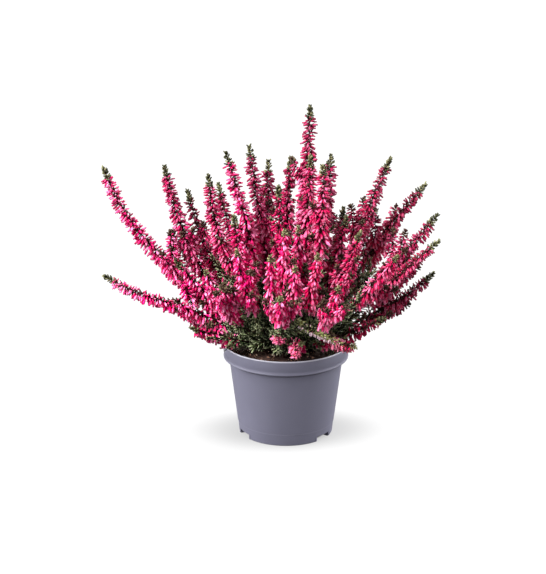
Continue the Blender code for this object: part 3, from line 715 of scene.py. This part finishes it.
def hangingParts(line, start, controls, light, flowers, values, draw):
    # One hanging branch: its florets, and its stem with short fresh leaves.
    root = line.points[int(start * (len(line.points) - 1))]
    branch = Line(cubicWeights(np.linspace(0, 1, 40)) @ np.array([root, *controls]))
    bloom = []
    for first, last, amount, pale in flowers:
        part = bloomPart(branch, first * branch.length, last * branch.length, values["size"], draw,
                         amount, paleFloret if pale > 0.5 else floret)
        part["values"]["pale"] = np.full(len(part["points"]), pale)
        bloom.append(part)
    step = values["lightStep"] if light else values["leafStep"]
    leaves = np.arange(values["leafFrom"], branch.length, step)
    green = [makeStem(branch, draw, values["radii"], rings=values["rings"], sides=twigs["sides"]),
             makeNeedles(branch, leaves, bluntNeedle["length"], foliage["amongLean"],
                         values["fresh"], bluntNeedle, draw, light=light)]
    return bloom, green


def setTones(parts, tip, values, draw):
    # Every floret of a spray reads the same warmth and gloom, its painted shade.
    warmth = values["warmth"] + tip[0] / values["warmRight"] + draw.normal(0, values["warmSway"])
    gloom = min(values["gloom"] + tip[1] / values["gloomBack"] + tip[0] / values["gloomRight"],
                values["farGloom"] - tip[1] / values["farBack"])
    for part in parts:
        for label, value in (("warmth", warmth), ("gloom", gloom)):
            part["values"][label] = np.full(len(part["points"]), np.clip(value, 0, 1))


def buildSpray(number, line, fullness, looks):
    # near goes from 0 to 1 as the tip comes forward, past nearFrom to twice that.
    draw = np.random.default_rng(100 + number)
    tip = line.points[-1]
    first = min(stems["flowerStart"], stems["startShare"] * line.length)
    first = max(first, lateSprays.get(number, 0) * line.length)
    near = np.clip(-tip[1] / sprayHabit["nearFrom"] - 1, 0, 1)
    last = line.length - stems["tuft"] * (1 - sprayHabit["nearTuft"] * near)
    size = between(sprayHabit["sizes"], fullness)
    kind, leaf = (nearFloret, nearNeedle) if near > 0.5 else (floret, bluntNeedle)
    manner = {"amount": sparseSprays.get(number, 1.0), "values": kind,
              "dusk": sprayHabit["dusk"] if number in sparseSprays else 1.0}
    bloom = [bloomPart(line, first - sprayHabit["overLeaves"], last + sprayHabit["overTuft"], size,
                       draw, **manner)]
    green = greenParts(line, first, last, leaf, sprayHabit["nearLight"] * near, draw)
    spikes = [sprayHabit] * draw.integers(*sprayHabit["sideSpikes"], endpoint=True)
    for habit in spikes + [bushyHabit] * bushySprays.get(number, 0):
        flowers, leaves = spikeParts(line, first, last, size, habit, draw, manner)
        bloom.append(flowers)
        green += leaves
    for spray, *rest in hangingBranches:
        if spray == number:
            flowers, leaves = hangingParts(line, *rest, hangingHabit, draw)
            bloom += flowers
            green += leaves
    setTones(bloom, tip, toneRule, draw)
    flowers = buildPiece(f"florets_{number:02d}", bloom, [looks["petal"]])
    twig = buildPiece(f"leafyStem_{number:02d}", green, [looks["bark"], looks["leaf"]])
    for piece in (flowers, twig):
        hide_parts(f"flower_spray_{number:02d}")


# Leafy shoots: needles only. The bold ones, by number, have longer and wider needles

shootHabit = {"from": 8, "step": 4.0, "radii": (1.1, 0.4), "rings": 30, "longer": 1.05, "shorter": 0.4,
              "lean": 38, "leanCloser": 0.7, "fresh": 0.4}
boldShoots = {3: 1.25, 4: 1.2}


def buildShoot(number, line, length, values, looks):
    draw = np.random.default_rng(300 + number)
    bold = boldShoots.get(number, 1.0)
    leaf = {**needle, "halfWidth": needle["halfWidth"] * bold}
    distances = np.arange(values["from"], line.length - 1, values["step"])
    shares = distances / line.length
    lengths = needle["length"] * bold * length * (values["longer"] - values["shorter"] * shares ** 3)
    green = [makeStem(line, draw, values["radii"], stems["buried"], values["rings"]),
             makeNeedles(line, distances, lengths,
                         values["lean"] * (1 - values["leanCloser"] * shares ** 4),
                         values["fresh"] * shares ** 2, leaf, draw)]
    shoot = buildPiece(f"leafyShoot_{number:02d}", green, [looks["bark"], looks["leaf"]])
    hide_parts(f"leafy_shoot_{number:02d}")


# Pot: a turned wall with a rolled lip, a collar and three drained foot notches

pot = {
    "height": 90, "collar": 14, "segments": 180,
    "rim": 60, "shoulder": 54.6, "foot": 45,    # outer radii: top, under the collar, bottom
    "wall": 1.4, "floor": 1.6, "lip": 0.7, "taper": 0.7, "bead": 0.35, "footRound": 1.2,
    "line": 80.5, "lineStep": 0.22, "footLine": 11.8, "footStep": 0.4,    # fine steps of the wall
    "notches": (-37.5, -153.0, 85.6), "notchWidth": 18.5, "notchHeight": 5.2, "notchDepth": 11,
    "drainRadius": 3.0, "drainInset": 6.5, "drainSides": 28, "sharpFrom": 32,
}


def arc(centre, radius, start, end, count):
    # Points (radius, height) on an arc, angles from the pot's outward direction.
    return np.array(centre) + radius * onCircle(np.radians(np.linspace(start, end, count)))


def potProfile(values):
    # The wall's outline from the foot's edge up the outside, over the lip and down the inside.
    shoulder = values["height"] - values["collar"]
    rise = (values["shoulder"] - values["foot"]) / shoulder
    edge = values["rim"] - values["taper"]
    step, wall, lip, footRound = values["footStep"], values["wall"], values["lip"], values["footRound"]
    lineRadius = edge + values["taper"] * (values["line"] - shoulder) / values["collar"]
    inside = values["shoulder"] - wall

    def outer(height):
        return values["foot"] + rise * height

    return np.vstack([
        arc((outer(0) - footRound, footRound), footRound, -90, 0, 5),
        [(outer(values["footLine"] - 2 * step) - step, values["footLine"] - 2 * step)],
        [(outer(values["footLine"]) - step, values["footLine"] - step / 2)],
        [(outer(values["footLine"]), values["footLine"])],
        [(outer(height), height) for height in (14, 30, 50, 68)],
        arc((outer(shoulder - 0.5) + 0.6, shoulder - 0.6), 0.6, 180, 90, 4),
        arc((edge - values["bead"], shoulder + 0.5), 0.5 + values["bead"], -90, 30, 6),
        [(edge, shoulder + 2.2)],
        [(lineRadius, values["line"] - 0.3), (lineRadius + values["lineStep"], values["line"] + 0.2)],
        arc((values["rim"] - lip, values["height"] - lip), lip, 0, 90, 6),
        arc((values["rim"] - wall + lip, values["height"] - lip), lip, 90, 180, 6),
        [(edge - wall, shoulder + wall + 2)],
        arc((edge - wall - 2, shoulder + wall + 2), 2, 0, -90, 5)[1:],
        [(inside, shoulder + wall - 1)],
        [(inside - rise * 40, shoulder - 40)],
        [(outer(values["floor"]) - wall, values["floor"])],
    ])


def turn(profile, segments):
    # A profile turned about Z: (radius cos, radius sin, height) for each step of the circle.
    flat = profile[:, :1, None] * circleSteps(segments)
    heights = np.broadcast_to(profile[:, 1:, None], (len(profile), segments, 1))
    return np.concatenate([flat, heights], -1)[None]


def notchCutter(name, margin, reach, lowest, values):
    # Blocks round the foot, one at each notch: a face of four corners square to the notch's
    # azimuth, at the inner distance and again at reach.
    inner = values["foot"] - values["notchDepth"] - margin
    half = values["notchWidth"] / 2 + margin
    corners = np.array([(-half, lowest), (half, lowest), (half, values["notchHeight"] + margin),
                        (-half, values["notchHeight"] + margin)])
    blocks = []
    for azimuth in np.radians(values["notches"]):
        outward = np.array([math.cos(azimuth), math.sin(azimuth), 0])
        beside = np.array([-math.sin(azimuth), math.cos(azimuth), 0])
        face = corners[:, :1] * beside + corners[:, 1:] * upward
        blocks.append(np.stack([face + inner * outward, face + reach * outward]))
    return hiddenCutter(name, surface(np.stack(blocks)))


def drainCutter(name, values):
    # A round rod through each notch's roof.
    ring = np.pad(values["drainRadius"] * circleSteps(values["drainSides"]), ((0, 0), (0, 1)))
    far = values["foot"] - values["drainInset"]
    rods = []
    for azimuth in np.radians(values["notches"]):
        low = ring + (far * math.cos(azimuth), far * math.sin(azimuth), 0)
        rods.append(np.stack([low, low + 3 * values["notchHeight"] * upward]))
    return hiddenCutter(name, surface(np.stack(rods)))


def hiddenCutter(name, part):
    # A mesh that only cuts, and is removed afterwards.
    mesh = bpy.data.meshes.new(name)
    mesh.from_pydata((part["points"] * mm).tolist(), [],
                     [face for faces in part["faces"] for face in faces.tolist()])
    return addObject(name, mesh)


def applyModifiers(piece):
    # What the modifiers make becomes the piece's own mesh.
    mesh = bpy.data.meshes.new_from_object(piece.evaluated_get(bpy.context.evaluated_depsgraph_get()))
    piece.modifiers.clear()
    piece.data = mesh


def buildPot(values, looks):
    # The turned wall gets a roof over each notch, then the hollow under it and its drain.
    body = buildPiece("pottedWall", [surface(turn(potProfile(values), values["segments"]))],
                      [looks["plastic"]])
    cuts = [("UNION", notchCutter("notchRoofs", values["floor"], values["foot"] - values["wall"] / 2,
                                  values["floor"] / 2, values)),
            ("DIFFERENCE", notchCutter("notchHollows", 0.0, values["foot"] + 5, -2, values)),
            ("DIFFERENCE", drainCutter("drains", values))]
    for operation, cutter in cuts:
        modifier = body.modifiers.new(cutter.name, "BOOLEAN")
        modifier.operation = operation
        modifier.object = cutter
        modifier.solver = "EXACT"
    applyModifiers(body)
    body.data.set_sharp_from_angle(angle=math.radians(values["sharpFrom"]))
    for _, cutter in cuts:
        bpy.data.objects.remove(cutter, do_unlink=True)
    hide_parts("pot")
    return body


# Soil: peat with crumbs, bark bits and a few pale chips

soil = {
    "top": 81, "crown": 2.5, "clear": 0.6, "rings": 60, "segments": 210, "overNotch": 4, "core": 1,
    "lumps": 900, "lumpRadius": (0.9, 3.2), "lumpHeight": 0.42, "fall": 1.4, "seed": 5,
    "crumbs": 650, "crumbSize": (0.5, 2.3), "crumbPower": 2.5, "crumbSides": 5, "pale": 0.3,
    "crumbLength": (0.7, 2.2), "crumbRings": (0.35, 1, 0.95, 0.3),    # share of the radius
}
soil["outer"] = pot["rim"] - pot["taper"] - pot["wall"] - soil["clear"]


def discSpots(radius, count, draw):
    # Spots spread evenly over a disc, and their angles.
    angles, far = draw.uniform(0, 2 * math.pi, count), radius * np.sqrt(draw.random(count))
    return far[:, None] * onCircle(angles), angles


def crownHeight(spots, values):
    # The crown falls with the square of the way from the middle.
    share = (spots ** 2).sum(-1) / values["outer"] ** 2
    return values["top"] + values["crown"] * (1 - values["fall"] * share)


def soilHeight(spots, values, draw):
    # Each lump adds a small dome to the crown: height * sqrt(1 - (distance / radius)^2), and
    # the highest dome at a spot counts.
    radius, count = values["outer"], values["lumps"]
    centres, _ = discSpots(radius, count, draw)
    sizes = between(values["lumpRadius"], draw.random(count) ** 2)
    lift = np.zeros(spots.shape[:-1])
    for centre, size in zip(centres, sizes):
        inside = 1 - ((spots - centre) ** 2).sum(-1) / size ** 2
        lift = np.maximum(lift, values["lumpHeight"] * size * np.sqrt(np.clip(inside, 0, None)))
    return crownHeight(spots, values) + lift


def buildSoil(values, looks):
    # The bed: a plain turned side that fits the pot's inside, and rings of lumpy top over it.
    draw = np.random.default_rng(values["seed"])
    shoulder = pot["height"] - pot["collar"]
    inner = pot["shoulder"] - pot["wall"] - values["clear"]
    ledge = shoulder + pot["wall"] + values["clear"]
    rise = (pot["shoulder"] - pot["foot"]) / shoulder
    radii = np.linspace(values["outer"], 0.4, values["rings"])
    spots = radii[:, None, None] * circleSteps(values["segments"])
    crest = np.concatenate([spots, soilHeight(spots, values, draw)[..., None]], -1)
    low = pot["notchHeight"] + values["overNotch"]
    sides = turn(np.array([(values["core"], low), (inner - rise * (shoulder - low), low),
                           (inner, ledge), (values["outer"], ledge)]), values["segments"])[0]
    points = np.concatenate([sides, crest])[None]
    bed = buildPiece("peatBed", [surface(points, chance=0.5)], [looks["peat"]])
    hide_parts("soil")
    scatterCrumbs(values, looks, draw)


def scatterCrumbs(values, looks, draw):
    # Loose bits on the soil: short closed tubes with uneven rings, lying at any angle.
    count = values["crumbs"]
    spots, angles = discSpots(values["outer"] - 1.5, count, draw)
    sizes = between(values["crumbSize"], draw.random(count) ** values["crumbPower"])
    centres = np.column_stack([spots, crownHeight(spots, values) + 0.25 + 0.35 * sizes])
    way = unit(np.column_stack([onCircle(angles * 3), draw.normal(0, 0.35, count)]))
    long = sizes * draw.uniform(*values["crumbLength"], count)
    steps = np.array([-0.5, -0.3, 0.3, 0.5])
    paths = centres[:, None] + long[:, None, None] * steps[None, :, None] * way[:, None]
    radii = (0.5 * sizes[:, None] * np.array(values["crumbRings"])
             * draw.uniform(0.7, 1.2, (count, len(steps))))
    points = sweep(paths, np.repeat(way[:, None], len(steps), 1), radii, upward[None, None],
                   values["crumbSides"], 0.7)
    points = points + draw.normal(0, 0.05, points.shape)
    pale = (draw.random(count) < values["pale"]) * 0.6 + draw.random(count) * 0.4
    crumbs = buildPiece("peatCrumbs", [surface(points, chance=pale[:, None, None])], [looks["crumb"]],
                        smooth=False)
    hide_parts("soil")


# Finishes. Two effects are shared: uneven tone, and a tone picked by each leaf's own chance

def effectGroup(name, inputs, outputs):
    # A node group with named ways in and out, ready to be wired.
    tree = bpy.data.node_groups.new(name, "ShaderNodeTree")
    for label, value in inputs.items():
        kind = "NodeSocketColor" if isinstance(value, tuple) else "NodeSocketFloat"
        socket = tree.interface.new_socket(name=label, in_out="INPUT", socket_type=kind)
        socket.default_value = value
    for label, kind in outputs.items():
        tree.interface.new_socket(name=label, in_out="OUTPUT", socket_type=kind)
    given, result = tree.nodes.new("NodeGroupInput"), tree.nodes.new("NodeGroupOutput")
    return Wiring(tree), given.outputs, result.inputs


def unevenTone():
    # Colour value times 1 + spread * (noise - 0.5), in object space; the noise also comes out.
    wire, given, result = effectGroup(
        "unevenTone", {"Colour": (0.5, 0.5, 0.5, 1), "Spread": 0.2, "Scale": 200.0},
        {"Colour": "NodeSocketColor", "Height": "NodeSocketFloat"})
    noise = wire.add("TexNoise", {"Vector": wire.spot(), "Scale": given["Scale"], "Detail": 3}, "Fac")
    gain = wire.maths("MULTIPLY_ADD", wire.maths("SUBTRACT", noise, 0.5), given["Spread"], 1.0)
    tone = wire.add("HueSaturation", {"Value": gain, "Color": given["Colour"]}, "Color")
    wire.put(result["Colour"], tone)
    wire.put(result["Height"], noise)


def chanceTone():
    # Deep at a chance of 0, middle at a half and light at 1; even steps between.
    wire, given, result = effectGroup(
        "chanceTone", {"Deep": (0, 0, 0, 1), "Middle": (0.5, 0.5, 0.5, 1), "Light": (1, 1, 1, 1),
                       "Chance": 0.5}, {"Colour": "NodeSocketColor"})
    colour = given["Deep"]
    for label, low in (("Middle", 0.0), ("Light", 0.5)):
        share = wire.add("MapRange", {"Value": given["Chance"], "From Min": low, "From Max": low + 0.5},
                         "Result")
        colour = wire.mix(share, colour, given[label])
    wire.put(result["Colour"], colour)


def tint(red, green, blue):
    # Screen values from 0 to 255 as linear light: ((value + 0.055) / 1.055) ^ 2.4.
    screen = np.array([red, green, blue]) / 255
    linear = np.where(screen <= 0.04045, screen / 12.92, ((screen + 0.055) / 1.055) ** 2.4)
    return (*linear.tolist(), 1.0)


# Steps are from, to, share at from, share at to; "patches" are spread and scale of the uneven tone
petalLook = {
    "magenta": (tint(150, 0, 66), tint(248, 14, 118), tint(255, 136, 194)),
    "crimson": (tint(112, 0, 34), tint(212, 4, 74), tint(252, 108, 160)),
    "pale": tint(255, 228, 238), "streak": tint(255, 196, 222), "calyxAndShade": tint(60, 2, 18),
    "budAndShade": tint(112, 26, 56), "paleEnd": tint(255, 176, 208), "darkEnd": tint(56, 4, 24),
    "sepalAndHighlightAlong": (0.3, 0.8, 0.0, 0.45), "sepalAndHighlightChance": (0.45, 0.85),
    "budAndShadeShare": (0.2, 1.0, 0.45, 0.75), "budAndShadeGloom": (0.0, 0.8, 0.08, 1.0),
    "endShare": (0.2, 0.7), "endAlong": (0.78, 0.97, 0.0, 0.4), "paleAlong": (0.2, 0.5),
    "calyxShadeAlong": (0.05, 0.45, 0.95, 0.0), "calyxShadePale": (0.0, 1.0, 1.0, 0.4),
    "patches": (0.5, 900.0), "roughness": (0.3, 0.7, 0.3, 0.5),
}


def petalFinish(values):
    # Dark where the floret leaves its stalk, for its calyx and as painted shade between the florets; pale
    # ends low on a spray, dark ones near its tip.
    look = Finish("petal", {"Specular IOR Level": 0.1})
    along, share, pale = look.read("along"), look.read("share"), look.read("pale")
    colour = look.mix(look.read("warmth"), look.picked(*values["magenta"]),
                      look.picked(*values["crimson"]))
    # pale sepal edges and painted highlights along alternate sides of some florets
    streak = look.times(look.read("streak"), look.step(along, *values["sepalAndHighlightAlong"]))
    streak = look.times(streak, look.step(look.read("chance"), *values["sepalAndHighlightChance"]))
    colour = look.mix(streak, colour, values["streak"])
    # bud colour towards the tip and painted shade, stronger with the spray's gloom
    dull = look.times(look.step(share, *values["budAndShadeShare"]),
                      look.step(look.read("gloom"), *values["budAndShadeGloom"]))
    colour = look.mix(dull, colour, values["budAndShade"])
    end = look.mix(look.step(share, *values["endShare"]), values["paleEnd"], values["darkEnd"])
    colour = look.mix(look.step(along, *values["endAlong"]), colour, end)
    colour = look.mix(look.times(pale, look.step(along, *values["paleAlong"])), colour, values["pale"])
    # calyx colour and painted shade at the floret's base, less on pale florets
    dark = look.times(look.step(along, *values["calyxShadeAlong"]), look.step(pale, *values["calyxShadePale"]))
    colour = look.mix(dark, colour, values["calyxAndShade"])
    colour, noise = look.patchy(colour, *values["patches"])
    return look.finish(colour, look.step(noise, *values["roughness"]))


leafLook = {
    "old": (tint(2, 8, 2), tint(16, 35, 6), tint(140, 160, 108)),
    "olive": (tint(28, 32, 14), tint(62, 62, 38), tint(126, 122, 88)),
    "wine": tint(62, 14, 26), "tip": tint(206, 210, 170), "light": tint(188, 192, 124),
    "tipAlong": (0.7, 1.0, 0.0, 0.4), "tipFresh": (0.5, 0.9, 1.0, 0.0),
    "patches": (0.6, 700.0), "roughness": (0.3, 0.7, 0.42, 0.6),
}


def leafFinish(values):
    # Dark green when old and olive when fresh, with pale points on the old ones.
    look = Finish("leaf", {"Specular IOR Level": 0.2})
    fresh = look.read("fresh")
    colour = look.mix(fresh, look.picked(*values["old"]), look.picked(*values["olive"]))
    tip = look.times(look.step(look.read("along"), *values["tipAlong"]),
                     look.step(fresh, *values["tipFresh"]))
    colour = look.mix(tip, colour, values["tip"])
    for name in ("wine", "light"):
        colour = look.mix(look.read(name), colour, values[name])
    colour, noise = look.patchy(colour, *values["patches"])
    return look.finish(colour, look.step(noise, *values["roughness"]))


barkLook = {
    "old": tint(48, 26, 20), "young": tint(66, 30, 28), "youngShare": (0.7, 1.0),
    "patches": (1.1, 500.0), "roughness": 0.75, "bump": (0.6, 0.3),    # strength, depth
}


def barkFinish(values):
    look = Finish("bark", {"Specular IOR Level": 0.25})
    young = look.step(look.read("share"), *values["youngShare"])
    colour, noise = look.patchy(look.mix(young, values["old"], values["young"]), *values["patches"])
    return look.finish(colour, values["roughness"], noise, *values["bump"])


plasticLook = {
    # painted shade for the corner under the collar
    "wall": tint(116, 115, 133), "lip": tint(206, 206, 218), "collarShade": tint(60, 58, 70),
    # a pale line at the foot step
    "paleFootLine": tint(160, 160, 174),
    # painted highlight along the top of the lip: from and to in height, and its share
    "lipHighlightFrom": (88.6, 89.6), "lipHighlightShare": 0.9,
    # Bands round the wall: from and to in height, strength, tone
    "bands": [(72.2, 76.0, 0.6, "collarShade"), (11.2, 12.1, 0.3, "paleFootLine")],
    "clouds": (0.12, 60.0), "grain": (0.10, 1400.0), "roughness": (0.3, 0.7, 0.40, 0.52),
    "bump": (0.25, 0.05),
}


def plasticFinish(values):
    # Matt grey-violet, with a painted highlight along the top of the lip and painted shade in the corner
    # under the collar, and a pale line at the foot. A band rises over its first quarter and falls over
    # its last.
    look = Finish("potPlastic", {"Specular IOR Level": 0.45})
    height = look.add("SeparateXYZ", {"Vector": look.spot()}, "Z")
    # painted highlight on the top of the lip
    low, high = np.array(values["lipHighlightFrom"]) * mm
    colour = look.mix(look.step(height, low, high, 0.0, values["lipHighlightShare"]), values["wall"],
                      values["lip"])
    # the first band is painted shade under the collar, the second a pale line at the foot
    for start, end, share, tone in values["bands"]:
        low, high, edge = start * mm, end * mm, (end - start) * mm / 4
        band = look.times(look.step(height, low, low + edge),
                          look.step(height, high - edge, high, share, 0.0))
        colour = look.mix(band, colour, values[tone])
    colour, clouds = look.patchy(colour, *values["clouds"])
    colour, grain = look.patchy(colour, *values["grain"])
    return look.finish(colour, look.step(clouds, *values["roughness"]), grain, *values["bump"])


peatLook = {"tone": tint(66, 48, 42), "coarse": (1.8, 350.0), "fine": (1.2, 1500.0),
            "roughness": 0.9, "bump": (0.8, 0.5)}


def peatFinish(values):
    look = Finish("peat", {"Specular IOR Level": 0.2})
    colour, _ = look.patchy(values["tone"], *values["coarse"])
    colour, noise = look.patchy(colour, *values["fine"])
    return look.finish(colour, values["roughness"], noise, *values["bump"])


crumbLook = {"tones": (tint(46, 30, 24), tint(160, 116, 94), tint(232, 206, 184)),
             "patches": (0.8, 800.0), "roughness": 0.85, "bump": (0.6, 0.3)}


def crumbFinish(values):
    look = Finish("peatCrumb", {"Specular IOR Level": 0.25})
    colour, noise = look.patchy(look.picked(*values["tones"]), *values["patches"])
    return look.finish(colour, values["roughness"], noise, *values["bump"])


def buildLooks():
    unevenTone()
    chanceTone()
    return {"petal": petalFinish(petalLook), "leaf": leafFinish(leafLook),
            "bark": barkFinish(barkLook), "plastic": plasticFinish(plasticLook),
            "peat": peatFinish(peatLook), "crumb": crumbFinish(crumbLook)}


# Everything in its place

bpy.context.scene.view_settings.view_transform = "Standard"
placeCamera(camera)
softSky(light)
floor = layFloor(light)
print("camera, sky and floor are set")
looks = buildLooks()
print("finishes:", ", ".join(looks))
softSun(light, [floor, buildPot(pot, looks)])
buildSoil(soil, looks)
print("pot, soil and sun are built")
lines, fullness = stemLines(stems)
sprayCount = len(lines) - len(leafyShoots)
for number in range(1, sprayCount + 1):
    buildSpray(number, lines[number - 1], fullness[number - 1], looks)
print(sprayCount, "flower sprays are built")
for number in range(1, len(leafyShoots) + 1):
    index = sprayCount + number - 1
    buildShoot(number, lines[index], fullness[index], shootHabit, looks)
print(len(leafyShoots), "leafy shoots are built")
